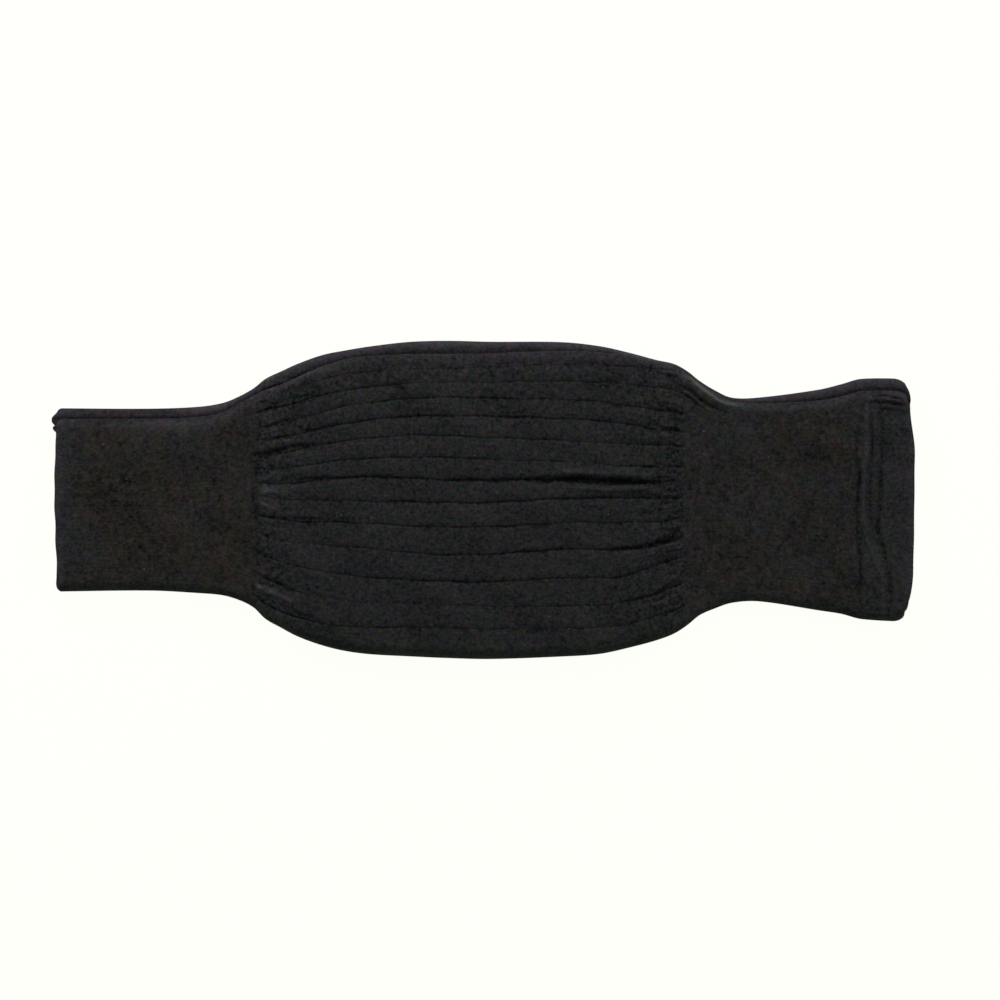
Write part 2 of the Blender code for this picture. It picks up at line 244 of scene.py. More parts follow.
def inside(warmer, along, place):
    """Points round the slit inside a tube."""
    along = along[:, None]
    cut = section(warmer, along)
    half = cut.half - FOLD_WALL
    share = share_across(place)
    open_end = 1 - ease(np.minimum(along - CALF_END, THIGH_END - along), 0, GAPE_REACH)
    slit = between(CUFF_SLIT, KNEE_SLIT, along) / 2 + GAPE * open_end
    slit = slit * risen(2 * half * np.minimum(share, 1 - share), SLIT_REACH)
    slit = slit * (1 + GAPE_UNEVEN * open_end * np.sin(share * GAPE_TURN + GAPE_PHASE))
    crown = cut.crown * (1 - (1 - 2 * share) ** 2)
    z = cut.back + cut.height / 2 + np.where(place <= 1, slit + crown, -slit)
    return laid(warmer, cut, along, place, half, z)


def drawn_share(warmer, place):
    """Each point's share across on the pattern that the upper face shows. Hidden faces have it
    turned over, so that it differs from one layer to the next."""
    turned = (place > 1) == (warmer == "upper")
    return np.where(turned, 1 - share_across(place), share_across(place))


def drawn_across(warmer, along, place):
    """The same as a distance from the garment's middle line."""
    cut = section("upper", along)
    return cut.middle + cut.half * (1 - 2 * drawn_share(warmer, place))


# Creases are soft troughs, or ridges where their depth is below 0, along a line of (along, across)
# points. At their width from it they have lost two thirds of their depth, and a few widths away
# they no longer count. Towards each end they fade to a share of their depth, over a share of their
# length or the longest fade.
Crease = namedtuple("Crease", "width depth points")
CREASE_REACH = 3  # in widths
CREASE_END_DEPTH, CREASE_FADE, LONGEST_FADE = 0.3, 0.3, 8.0


def creased(creases, along, across):
    """How far creases sink a wall at each of its points."""
    along, across = np.broadcast_arrays(along, across)
    sunk = np.zeros(along.shape)
    for crease in creases:
        line, reach = np.array(crease.points, float), CREASE_REACH * crease.width
        low, high = line.min(axis=0) - reach, line.max(axis=0) + reach
        near = (along > low[0]) & (along < high[0]) & (across > low[1]) & (across < high[1])
        if not near.any():
            continue
        x, y = along[near], across[near]
        nearest, travelled, start = np.full(x.shape, np.inf), np.zeros(x.shape), 0.0
        for (x0, y0), (x1, y1) in zip(line, line[1:]):
            step = np.hypot(x1 - x0, y1 - y0)
            t = np.clip(((x - x0) * (x1 - x0) + (y - y0) * (y1 - y0)) / step**2, 0, 1)
            distance = np.hypot(x - x0 - t * (x1 - x0), y - y0 - t * (y1 - y0))
            travelled = np.where(distance < nearest, start + t * step, travelled)
            nearest = np.minimum(distance, nearest)
            start += step
        from_end = np.minimum(travelled, start - travelled)
        fade = ease(from_end, 0, min(CREASE_FADE * start, LONGEST_FADE))
        fade = CREASE_END_DEPTH + (1 - CREASE_END_DEPTH) * fade
        sunk[near] += crease.depth * fade * bump(nearest, 0, crease.width)
    return sunk


# Puckers reach, stray and bend across by shares of the half width. Their least length and depth are
# a share of the greatest. The ridge beside each lies some of its widths away.
PUCKERS_TO, PUCKER_STRAY, PUCKER_BEND = 0.97, 0.7, 0.009
PUCKER_START, PUCKER_POINTS, PUCKER_LEAST = 4, 4, 0.25
PUCKER_WIDTHS = (0.55, 1.05)
RIDGE_AWAY, RIDGE_SHARE = (1.6, 2.2), 0.6


def puckers(seed, seam, way, count, past, longest, deepest):
    """Short creases that a seam draws in. They start up to "past" before it and fan out. Each has
    a ridge beside it, where the drawn-in cloth stands up."""
    rng = np.random.default_rng(seed)
    drawn = []
    for share in np.linspace(-PUCKERS_TO, PUCKERS_TO, count):
        share += rng.uniform(-PUCKER_STRAY, PUCKER_STRAY) / count
        start = seam + way * rng.uniform(-past, PUCKER_START)
        length = rng.uniform(PUCKER_LEAST, 1) * longest
        along = start + way * np.linspace(0, 1, PUCKER_POINTS) * length
        cut = section("upper", along)
        across = cut.middle + cut.half * (share + rng.uniform(-PUCKER_BEND, PUCKER_BEND, PUCKER_POINTS))
        depth, width = deepest * rng.uniform(PUCKER_LEAST, 1), rng.uniform(*PUCKER_WIDTHS)
        drawn.append(Crease(width, depth, tuple(zip(along, across))))
        beside = across + rng.choice((-1, 1)) * rng.uniform(*RIDGE_AWAY) * width
        drawn.append(Crease(width, -RIDGE_SHARE * depth, tuple(zip(along, beside))))
    return tuple(drawn)


SWELLS, SWELL_HEIGHT, SWELL_LENGTHS = 7, 0.09, (16, 55)
SWELL_SEED = {"lower": 12, "upper": 11}


def uneven(warmer, along, across):
    """Cloth never lies quite flat: soft swells that differ from one warmer to the other."""
    rng = np.random.default_rng(SWELL_SEED[warmer])
    height = 0
    for _ in range(SWELLS):
        turn, phase = rng.uniform(0, 2 * np.pi, 2)
        way = along * np.cos(turn) + across * np.sin(turn)
        length = rng.uniform(*SWELL_LENGTHS)
        height = height + SWELL_HEIGHT * np.sin(2 * np.pi * way / length + phase)
    return height


# The grooves that part the ribs of the knee panel run out into both cuffs. At each station along:
# how far across from the garment's middle line a groove lies, and how deep it is.
STATIONS = (108.4, 149.2, 201.5, 274.7, 295.6, 319.1)
Groove = namedtuple("Groove", "across deep")
GROOVES = (
    Groove((53.6, 64.5, 68.2, 70.3, 69.3, 68.2), (0.1, 0.3, 0.2, 0.2, 0.4, 0.4)),
    Groove((46.3, 56.2, 60.9, 61.4, 60.4, 57.8), (0.8, 0.7, 0.2, 0.5, 0.5, 0.4)),
    Groove((37.4, 47.8, 53.0, 51.5, 49.4, 46.3), (0.2, 0.4, 0.6, 0.5, 0.6, 1.1)),
    Groove((31.1, 38.9, 43.6, 41.6, 39.5, 36.3), (0.5, 1.0, 0.8, 0.8, 0.6, 1.2)),
    Groove((23.3, 30.1, 33.2, 30.1, 29.0, 28.0), (2.0, 0.5, 0.6, 0.4, 0.3, 1.0)),
    Groove((15.9, 20.1, 21.7, 19.1, 17.5, 17.0), (0.5, 0.6, 0.6, 0.2, 0.5, 0.6)),
    Groove((8.1, 11.2, 10.2, 10.2, 9.1, 9.1), (0.5, 1.1, 1.1, 2.8, 3.0, 0.8)),
    Groove((1.8, -0.8, -1.8, 0.3, 0.8, 0.3), (0.2, 0.5, 0.8, 1.0, 1.1, 0.8)),
    Groove((-8.8, -12.1, -14.6, -12.3, -12.3, -11.2), (1.1, 0.6, 0.7, 0.5, 0.5, 1.0)),
    Groove((-18.6, -24.4, -29.0, -25.9, -26.4, -22.2), (0.4, 0.4, 0.6, 0.9, 0.6, 1.6)),
    Groove((-28.5, -39.1, -43.0, -41.0, -40.5, -32.7), (0.5, 0.5, 0.9, 0.5, 0.8, 0.8)),
    Groove((-40.5, -52.5, -55.1, -55.7, -54.1, -47.3), (0.7, 0.1, 0.2, 0.4, 0.4, 0.7)),
    Groove((-53.6, -66.1, -67.2, -67.2, -66.1, -59.3), (1.1, 0.5, 0.4, 0.3, 0.4, 0.9)),
)
# A groove is a slit with rounded lips. It widens with the square of its depth.
GROOVE_WIDTH, GROOVE_WIDENS, GROOVE_LIP = 0.48, 0.12, 2.0
SLIT_SHARE, LIP_DEPTH, LIP_SHARE = 0.68, 0.14, 0.28
GROOVES_START = (CALF_SEAM - 3.5, CALF_SEAM + 1.5)
GROOVES_END = (THIGH_SEAM - 1.5, THIGH_SEAM + 3.5)

# Grooves stray sideways and are pinched in places, each with its waves turned further.
STRAY, STRAY_WAVES = 0.16, (Wave(1.0, 4.1, 1.0), Wave(0.7, 9.7, 1.7))
PINCH, PINCH_WAVES = 0.65, (Wave(1.0, 3.3, 1.3), Wave(1.0, 7.9, 2.1))
GROOVE_TURN = 2.4


def groove_lines(along):
    """Each groove's share across the pattern, and its depth, at places along."""
    cut = section("upper", np.array(STATIONS))
    lines = []
    for number, groove in enumerate(GROOVES):
        share = (cut.middle + cut.half - np.array(groove.across)) / (2 * cut.half)
        line, deep = through(np.column_stack((STATIONS, share, groove.deep)), along)
        turn = GROOVE_TURN * number
        line = line + STRAY * waved(STRAY_WAVES, along, turn) / (2 * section("upper", along).half)
        pinch = PINCH * waved(PINCH_WAVES, along, turn) / (2 + deep)
        lines.append((line, deep * (1 + pinch)))
    return np.moveaxis(np.array(lines), 1, 0)


def grooved(warmer, along, place):
    """How far the grooves sink a wall."""
    half, share = section(warmer, along).half, drawn_share(warmer, place)
    sunk = 0
    for line, deep in zip(*groove_lines(along)):
        distance = 2 * half * (share - line)
        slit = bump(distance, 0, GROOVE_WIDTH + GROOVE_WIDENS * deep**2)
        lips = bump(distance, 0, GROOVE_LIP)
        sunk = sunk + deep * SLIT_SHARE * slit + (LIP_DEPTH + LIP_SHARE * deep) * lips
    return sunk * over(along, GROOVES_START, GROOVES_END)


# The upper warmer's fold presses a line into the lower warmer. No wall is sunk to less than this.
PRESSED_CUFF, PRESSED_KNEE, PRESSED_WIDTH = 0.65, 0.5, 0.9
LEAST_WALL = 0.5


def relief(warmer, along, place, creases, extra=0):
    """A piece's relief as it lies: hidden faces only sink, and no wall is sunk through."""
    along = along[:, None]
    cut, across = section(warmer, along), drawn_across(warmer, along, place)
    raised = uneven(warmer, along, across) - creased(creases, along, across) + extra
    raised = raised - grooved(warmer, along, place)
    raised = np.where((place > 1) | (warmer == "lower"), np.minimum(raised, 0), raised)
    if warmer == "lower":
        beyond = np.maximum(cut.peek - 2 * cut.half * place, 0)
        pressed = between(PRESSED_CUFF, PRESSED_KNEE, along) * bump(beyond, 0, PRESSED_WIDTH)
        raised = raised - np.where(place <= 1, pressed, 0)
    wall = (cut.height - between(CUFF_SLIT, KNEE_SLIT, along)) / 2 - LEAST_WALL
    return np.where(raised < 0, -wall * np.tanh(-raised / wall), raised)


# The mesh is finest on the face that shows, and everywhere close at the side folds.
FACE_SPACING = {"lower": 1.6, "upper": 0.5}
BACK_SPACING = 1.6
ROW_SPACING = {"lower": 1.4, "upper": 0.8}
FOLD_STEPS = np.array((0, 0.1, 0.35, 0.8, 1.4, 2.1, 3, 4, 5, 6, 7))


def rows_between(warmer, start, end):
    """Places along at which a piece has its rings."""
    return np.linspace(start, end, round((end - start) / ROW_SPACING[warmer]) + 1)


def plain_columns(warmer, along):
    """Places round a tube of plain knit."""
    width = 2 * section(warmer, along).half.mean()
    sides = []
    for spacing in (FACE_SPACING[warmer], BACK_SPACING):
        fold, count = FOLD_STEPS / width, round((width - 2 * FOLD_STEPS[-1]) / spacing)
        middle = np.linspace(fold[-1], 1 - fold[-1], count)
        sides.append(np.concatenate((fold[:-1], middle, 1 - fold[-2:0:-1])))
    return np.concatenate((sides[0], 1 + sides[1]))


# The wool is painted lighter along its upper fold and its free edges, and hardly along its lower
# fold: painted highlight and sheen over its fuzz. The lower warmer's is least on its calf cuff, and
# the upper one's on its panel. In rows of: along, how strong the painted highlight on the upper
# fold is, how far it reaches, and how dark the painted shade is where the fold turns under.
UPPER_FOLD_PAINTED_LIGHT = {
    "lower": (
        (0.0, 0.8, 4.5, 0.0),
        (15.0, 0.6, 4.5, 0.0),
        (30.0, 0.3, 4.5, 0.0),
        (62.0, 0.3, 4.5, 0.0),
        (74.0, 1.1, 5.0, 0.0),
        (104.0, 0.9, 4.2, 0.0),
        (118.0, 0.75, 3.4, 0.0),
        (150.0, 0.7, 3.2, 0.0),
        (190.0, 0.9, 3.8, 0.0),
        (240.0, 0.8, 3.6, 0.0),
        (285.0, 0.9, 3.6, 0.0),
        (303.0, 1.5, 3.6, 0.0),
        (327.0, 1.0, 4.2, 0.0),
        (385.0, 0.9, 4.3, 0.0),
        (450.0, 0.9, 4.3, 0.0),
    ),
    "upper": (
        (0.0, 0.55, 5.5, 0.9),
        (22.0, 0.55, 5.5, 0.9),
        (40.0, 1.05, 6.3, 1.25),
        (88.0, 1.0, 6.0, 1.1),
        (104.0, 0.45, 4.0, 0.6),
        (118.0, 0.6, 2.4, 0.1),
        (136.0, 0.6, 2.4, 0.1),
        (152.0, 0.25, 5.0, 0.9),
        (190.0, 0.35, 9.0, 1.3),
        (240.0, 0.15, 8.0, 1.25),
        (290.0, 0.15, 8.0, 0.9),
        (312.0, 0.2, 5.0, 0.4),
        (323.0, 0.56, 4.0, 0.1),
        (334.0, 0.85, 4.5, 0.0),
        (346.0, 0.6, 4.5, 0.0),
        (357.0, 0.8, 4.8, 0.2),
        (368.0, 0.85, 5.2, 0.5),
        (385.0, 0.85, 5.0, 0.65),
        (450.0, 0.9, 4.5, 0.75),
    ),
}
# How far the painted shade under the upper fold reaches, and the painted sheen over the fuzz of the
# lower fold and of the free ends, with how far it reaches at the ends.
SHADE_REACH = 2.3
LOWER_FUZZ_AND_SHEEN, END_FUZZ_AND_SHEEN, FUZZY_END = 0.15, 0.4, 3.0

# In the neck above the knee the upper fold has a crest, which gets the strongest painted
# highlight, and a green tinge.
NECK_CREST = ((329.0, 64.8), (333.5, 62.3), (338.0, 58.3), (344.0, 54.1), (347.8, 51.0), (352.6, 49.8),
              (359.4, 48.9))
NECK_CREST_HIGHLIGHT = Crease(0.9, 2.0, NECK_CREST)
NECK, NECK_LENGTH, NECK_IN, NECK_GREEN = 346.0, 12.0, 4.0, 1.6

# Ridges at the calf seam that stand up most get a painted highlight as well, and each cuff has a
# darker patch. Brown patches lie on both, at the calf cuff's lower corner and here and there on the
# panel.
Patch = namedtuple("Patch", "along across length width amount")
HIGHLIGHT_AND_DARK_PATCHES = (
    Patch(112.6, 4.6, 6.0, 2.5, 0.42),
    Patch(111.0, -3.6, 3.0, 3.2, 0.42),
    Patch(107.0, -46.0, 1.0, 1.1, 1.9),
    Patch(112.0, -47.6, 4.5, 1.5, 0.5),
    Patch(121.0, -51.0, 5.5, 1.5, 0.45),
    Patch(396.0, 27.0, 17.0, 11.0, -0.14),
    Patch(45.0, 0.0, 32.0, 26.0, -0.1),
)
BROWN_PATCHES = (
    Patch(396.0, 27.0, 20.0, 13.0, 0.5),
    Patch(33.0, -36.0, 14.0, 9.0, 0.6),
    Patch(45.0, 2.0, 24.0, 18.0, 0.45),
    Patch(166.0, 61.0, 18.0, 8.0, 0.6),
    Patch(210.0, 66.0, 12.0, 5.0, 0.4),
    Patch(273.0, -19.0, 9.0, 5.0, 0.6),
    Patch(193.0, -71.0, 20.0, 6.0, 0.4),
)


def patched(patches, warmer, along, place):
    """The sum of some soft patches on the pattern."""
    across, total = drawn_across(warmer, along, place), 0
    for spot in patches:
        reach = bump(along, spot.along, spot.length) * bump(across, spot.across, spot.width)
        total = total + spot.amount * reach
    return total


def fuzzy(warmer, along, place):
    """How much lighter the wool is painted: highlight and sheen over fuzz at its folds and free ends,
    and highlights on ridges. Below 0 it is darker: painted shade where the upper fold turns under,
    and darker patches.
    """
    width, share = 2 * section(warmer, along).half, share_across(place)
    highlight_and_sheen, reach, shade = through(UPPER_FOLD_PAINTED_LIGHT[warmer], along)
    # Painted highlight and sheen along the upper fold, and painted shade where it turns under. The
    # lower fold gets a little painted sheen.
    folds = highlight_and_sheen * bump(width * share, 0, reach) - shade * bump(width * share, 0, SHADE_REACH)
    folds = folds + LOWER_FUZZ_AND_SHEEN * bump(width * (1 - share), 0, reach)
    if warmer == "upper":
        # A painted highlight along the crest in the neck.
        folds = folds + creased((NECK_CREST_HIGHLIGHT,), along, drawn_across(warmer, along, place))
    # The free ends' fuzz, painted lighter with sheen.
    end = np.minimum(along - CALF_END, THIGH_END - along)
    folds = np.maximum(folds, END_FUZZ_AND_SHEEN * bump(end, 0, FUZZY_END))
    # Painted highlights on the ridges at the calf seam, and darker patches on the cuffs.
    return folds + patched(HIGHLIGHT_AND_DARK_PATCHES, warmer, along, place)


PURPLE_REACH, GREEN_REACH, LOWER_GREEN = 6.0, 5.0, 2.6
STRIP_PURPLE = 1.8  # in the cuffs

# Brown starts and ends along the garment, and leaves out the ribs. Its bounds wander.
BROWN_START, BROWN_END = (5.0, 18.0), (409.0, 425.0)
RIBS_START, RIBS_END = (CALF_SEAM - 9, CALF_SEAM + 5), (THIGH_SEAM - 3, THIGH_SEAM + 13)
BROWN_WANDER = (Wave(2.0, 5.1, 0.4), Wave(1.5, 2.3, 0.0))


def brown(warmer, along, place):
    """The wool is brownish in the middle of the cuffs, and neutral in the ribs, in the welts and
    under the painted highlight and sheen."""
    width, share = 2 * section(warmer, along).half, share_across(place)
    patches = patched(BROWN_PATCHES, warmer, along, place)
    along = along + waved(BROWN_WANDER, drawn_across(warmer, along, place))
    in_cuffs = over(along, BROWN_START, BROWN_END) * (1 - over(along, RIBS_START, RIBS_END))
    highlight_and_sheen = np.clip(fuzzy(warmer, along, place), 0, 1)
    upper_fold = np.maximum(bump(width * share, 0, PURPLE_REACH), highlight_and_sheen)
    folds = upper_fold + bump(width * (1 - share), 0, GREEN_REACH)
    return (in_cuffs + patches) * (1 - np.minimum(folds, 1))


def purple(warmer, along, place):
    """The upper fold and the free ends are tinged purple, and the lower fold and the fold above
    the knee green, which counts as less than 0."""
    width, share = 2 * section(warmer, along).half, share_across(place)
    end = np.minimum(along - CALF_END, THIGH_END - along)
    fold = bump(width * share, 0, PURPLE_REACH)
    if warmer == "lower":
        fold = fold * between(STRIP_PURPLE, 1, along)
    tinge = np.maximum(fold, bump(end, 0, PURPLE_REACH))
    neck = NECK_GREEN * bump(along, NECK, NECK_LENGTH) * bump(width * share, NECK_IN, PURPLE_REACH)
    return tinge - neck - LOWER_GREEN * bump(width * (1 - share), 0, GREEN_REACH)


LUMPY_CALF = (CALF_SEAM - 1, CALF_SEAM + 3), (CALF_SEAM + 8, CALF_SEAM + 30)
LUMPY_THIGH = (THIGH_SEAM - 36, THIGH_SEAM - 10), (THIGH_SEAM, THIGH_SEAM + 6)
LUMPY_PANEL = (CALF_SEAM, CALF_SEAM + 40), (THIGH_SEAM - 4, THIGH_SEAM)
FAR_EDGE, FAR_EDGE_WIDTH, FAR_EDGE_LUMPS = 9.5, 4.5, 0.8


def lumpy(warmer, along, place):
    """The drawn-in ribs are full of small lumps close to the seams, and along the far edge."""
    from_edge = 2 * section("upper", along).half * drawn_share(warmer, place)
    far_edge = FAR_EDGE_LUMPS * bump(from_edge, FAR_EDGE, FAR_EDGE_WIDTH)
    seams = np.maximum(over(along, *LUMPY_CALF), over(along, *LUMPY_THIGH))
    return np.maximum(seams, far_edge * over(along, *LUMPY_PANEL))


RIM_TURNS = np.radians((20, 45, 70, 90, 110, 135, 160))


def rim(start, end, way):
    """The rings of a rounded cloth edge, from one side of the wall to the other. It is flat at the
    side folds, where the wall stands upright."""
    middle, reach = (start + end) / 2, (start - end) / 2
    out = abs(reach[..., 2:]) * np.array([way, 0, 0])
    return [middle + reach * np.cos(turn) + out * np.sin(turn) for turn in RIM_TURNS]


INSIDE_RINGS = 24  # along the slit
SHARP = np.radians(70)  # a sharper edge isn't shaded round


def placed(name, data):
    """A new object in the scene."""
    thing = bpy.data.objects.new(name, data)
    bpy.context.scene.collection.objects.link(thing)
    return thing


def tube(name, knit, warmer, along, place, raised, free_start=False, free_end=False):
    """A closed wall of cloth: its outside, its edges and the slit inside, with a map of the knit."""
    place, last = np.broadcast_to(place, raised.shape), len(along) - 1
    within = np.linspace(last, 0, INSIDE_RINGS).round().astype(int)
    outer = outside(warmer, along, place, raised)
    inner = inside(warmer, along[within], place[within])
    end = rim(outer[-1], inner[0], 1) if free_end else []
    start = rim(inner[-1], outer[0], -1) if free_start else []
    points = np.array([*outer, *end, *inner, *start])
    rows = [*range(last + 1), *[last] * len(end), *within, *[0] * len(start)]
    ring_along, ring_place = along[rows], place[rows]
    count, columns = points.shape[:2]
    row, column = np.meshgrid(np.arange(count), np.arange(columns), indexing="ij")
    corners = ((row, column), (row, column + 1), (row + 1, column + 1), (row + 1, column))
    faces = np.stack([(r % count) * columns + c % columns for r, c in corners], axis=-1)
    mesh = bpy.data.meshes.new(name)
    mesh.from_pydata((points.reshape(-1, 3) * MM).tolist(), [], faces.reshape(-1, 4).tolist())
    girth = 4 * section(warmer, along).half.mean()
    round_it = np.column_stack((ring_place, np.full(count, 2.0))) * girth / 2
    uv = [np.stack((round_it[r % count, c], ring_along[r % count]), axis=-1) for r, c in corners]
    mesh.uv_layers.new(name="cloth").data.foreach_set("uv", (np.stack(uv, axis=-2) * MM).ravel())
    looks = {}
    for look in (fuzzy, brown, purple, lumpy):
        looks[look.__name__] = look(warmer, ring_along[:, None], ring_place)
    # The relief, from which the hollows get painted shade and proud places a painted highlight.
    looks["proud"] = np.concatenate((raised, np.zeros((count - len(raised), columns))))
    for look, values in looks.items():
        mesh.attributes.new(look, "FLOAT", "POINT").data.foreach_set("value", values.ravel())
    mesh.shade_smooth()
    mesh.set_sharp_from_angle(angle=SHARP)
    mesh.materials.append(knit)
    return placed(name, mesh)


def feed(tree, socket, source):
    """Joins a shader socket to another one, or sets it to a plain value."""
    if isinstance(source, bpy.types.NodeSocket):
        tree.links.new(source, socket)
    else:
        socket.default_value = source


def add(tree, kind, *sources, **named):
    """A shader node, fed in order and then by name. Names in small letters are its settings."""
    node = tree.nodes.new("ShaderNode" + kind)
    for name, value in named.items():
        if name[0].islower():
            setattr(node, name, value)
        else:
            feed(tree, node.inputs[name], value)
    for socket, source in zip(node.inputs, sources):
        feed(tree, socket, source)
    return node.outputs[0]


def calc(tree, operation, *sources):
    return add(tree, "Math", *sources, operation=operation)


# Random blotches in the wool: their size in millimetres, their detail, how strong they are and the
# value that they lie around. The tone has three, one in the other.
Blotches = namedtuple("Blotches", "size detail strength middle")
WOBBLE, FUZZ = Blotches(3.0, 2.0, 1.0, 0.5), Blotches(20.0, 2.0, 4.0, 0.0)
LUMPS, YARN = Blotches(3.0, 1.0, 1.0, 0.0), Blotches(1.2, 1.0, 1.4, 0.7)
TONES = (Blotches(1.5, 0.0, 1.4, 0.0), Blotches(2.8, 1.0, 1.3, 0.0), Blotches(8.0, 1.0, 0.6, 0.0))
SMALL_BROWN, LARGE_BROWN = Blotches(8.0, 4.0, 2.2, 0.25), Blotches(28.0, 1.0, 2.4, 0.5)
FLECKS = Blotches(4.2, 3.0, 4.2, 0.5)


def blotched(tree, place, kind):
    """A value that varies in random blotches."""
    noise = add(tree, "TexNoise", Vector=place, Scale=1 / (kind.size * MM), Detail=kind.detail)
    return calc(tree, "MULTIPLY_ADD", noise, kind.strength, kind.middle - kind.strength / 2)


LEG_SLANT, LEG_ROUND, STITCH_SWELL = 1.6, 0.45, 0.3


def stitch_height(tree, place, wale, course, clearness):
    """Each upright row of stitches is a zigzag of two slanting legs of yarn. Fuzz hides them in
    places."""
    cloth = tree.nodes.new("ShaderNodeSeparateXYZ")
    feed(tree, cloth.inputs[0], add(tree, "UVMap", uv_map="cloth"))
    wobble = blotched(tree, place, WOBBLE)
    rows = calc(tree, "MULTIPLY_ADD", cloth.outputs["X"], 1 / (wale * MM), wobble)
    leg = calc(tree, "PINGPONG", rows, 0.5)
    stitch = calc(tree, "MULTIPLY_ADD", cloth.outputs["Y"], 1 / (course * MM), wobble)
    stitch = calc(tree, "MULTIPLY_ADD", leg, LEG_SLANT, stitch)
    stitch = calc(tree, "SINE", calc(tree, "MULTIPLY", stitch, 2 * np.pi))
    stitch = calc(tree, "MULTIPLY_ADD", stitch, STITCH_SWELL, 1 - STITCH_SWELL)
    legs = calc(tree, "SINE", calc(tree, "MULTIPLY", leg, 2 * np.pi))
    height = calc(tree, "MULTIPLY", calc(tree, "MULTIPLY_ADD", legs, LEG_ROUND, leg), stitch)
    clear = add(tree, "Clamp", blotched(tree, place, FUZZ._replace(middle=clearness)))
    return calc(tree, "MULTIPLY", height, clear)


# How much lighter the wool is painted: with the height of its stitches (painted shade between
# them), with its lumps (painted highlight on them), with its fuzz and the painted light at its folds,
# and from its deepest hollows in millimetres to where it stands most proud (painted shade in the
# hollows, painted highlight on proud places).
TONE, LEAST_TONE = 0.95, 0.1
STITCH_PAINTED_SHADE, LUMP_PAINTED_HIGHLIGHT, FUZZ_AND_PAINTED_LIGHT_TONE = 0.14, 1.1, 1.05
HOLLOW, PROUD, HOLLOW_PAINTED_SHADE, PROUD_PAINTED_HIGHLIGHT = -2.4, 1.6, -0.95, 0.63
LINT_APART, LINT_CORE, LINT_RIM, LINT_RARE, LINT_TONE = 6.0, 0.035, 0.06, 0.6, 5.0


def wool_tone(tree, place, looks, height, lumps):
    """The wool is mottled. Hollows and the dips between stitches get painted shade, and proud places,
    lumps and folds a painted highlight, at the folds with sheen over fuzz. Here and there a speck of
    pale lint sticks to it."""
    tone = TONE
    for kind in TONES:
        tone = calc(tree, "ADD", tone, blotched(tree, place, kind))
    # Painted shade between the stitches, and a painted highlight on the lumps.
    tone = calc(tree, "MULTIPLY_ADD", height, STITCH_PAINTED_SHADE, tone)
    tone = calc(tree, "MULTIPLY_ADD", lumps, LUMP_PAINTED_HIGHLIGHT, tone)
    # Painted shade in the hollows, a painted highlight where the cloth stands proud, and the painted
    # light and fuzz of the folds.
    proud = add(tree, "MapRange", looks["proud"], HOLLOW, PROUD, HOLLOW_PAINTED_SHADE, PROUD_PAINTED_HIGHLIGHT)
    tone = calc(tree, "MULTIPLY_ADD", looks["fuzzy"], FUZZ_AND_PAINTED_LIGHT_TONE, calc(tree, "ADD", tone, proud))
    tone = calc(tree, "MAXIMUM", tone, LEAST_TONE)
    lint = tree.nodes.new("ShaderNodeTexVoronoi")
    feed(tree, lint.inputs["Vector"], place)
    feed(tree, lint.inputs["Scale"], 1 / (LINT_APART * MM))
    speck = add(tree, "MapRange", lint.outputs["Distance"], LINT_CORE, LINT_RIM, 1.0, 0.0)
    stuck = calc(tree, "GREATER_THAN", lint.outputs["Color"], LINT_RARE)
    return calc(tree, "MULTIPLY_ADD", calc(tree, "MULTIPLY", speck, stuck), LINT_TONE, tone)


BLUE_BLACK, BROWN_BLACK = (0.0117, 0.0127, 0.0134, 1), (0.0142, 0.0117, 0.0098, 1)
GREENISH, PURPLISH, TINGE = (0.81, 1.08, 0.82, 1), (1.13, 0.92, 1.24, 1), 0.35


def wool_colour(tree, place, looks, colourful):
    """Soft patches of bluish and brownish black, with greenish and purplish flecks."""
    large = blotched(tree, place, LARGE_BROWN)
    patchy = calc(tree, "MULTIPLY_ADD", looks["brown"], large, blotched(tree, place, SMALL_BROWN))
    shade = add(tree, "MixRGB", add(tree, "Clamp", patchy), BLUE_BLACK, BROWN_BLACK)
    tinge = calc(tree, "MULTIPLY_ADD", looks["purple"], TINGE, blotched(tree, place, FLECKS))
    flecks = add(tree, "MixRGB", add(tree, "Clamp", tinge), GREENISH, PURPLISH)
    return add(tree, "MixRGB", colourful, shade, flecks, blend_type="MULTIPLY")


LUMP_HEIGHT = 6.0


def knitted(name, wale, course, relief_depth, clearness, colourful):
    """Matt heather wool knit: V-shaped stitches in upright rows, in wool of uneven tone."""
    material = bpy.data.materials.new(name)
    material.use_nodes = True
    tree = material.node_tree
    place = tree.nodes.new("ShaderNodeTexCoord").outputs["Object"]
    looks = {look: add(tree, "Attribute", attribute_name=look).node.outputs["Fac"]
             for look in ("fuzzy", "brown", "purple", "lumpy", "proud")}
    height = stitch_height(tree, place, wale, course, clearness)
    lumps = calc(tree, "MULTIPLY", blotched(tree, place, LUMPS), looks["lumpy"])
    bumps = calc(tree, "MULTIPLY_ADD", lumps, LUMP_HEIGHT, height)
    bumps = calc(tree, "ADD", blotched(tree, place, YARN), bumps)
    normal = add(tree, "Bump", Strength=1.0, Distance=relief_depth * MM, Height=bumps)
    tone = wool_tone(tree, place, looks, height, lumps)
    shade = wool_colour(tree, place, looks, colourful)
    shade = add(tree, "VectorMath", shade, operation="SCALE", Scale=tone)

    surface = tree.nodes["Principled BSDF"]
    feed(tree, surface.inputs["Base Color"], shade)
    feed(tree, surface.inputs["Normal"], normal)
    surface.inputs["Roughness"].default_value = 0.95
    surface.inputs["Specular IOR Level"].default_value = 0.08
    return material


cuff_knit = knitted(
    "cuff_knit", wale=2.1, course=1.5, relief_depth=0.2, clearness=0.5, colourful=0.8
)

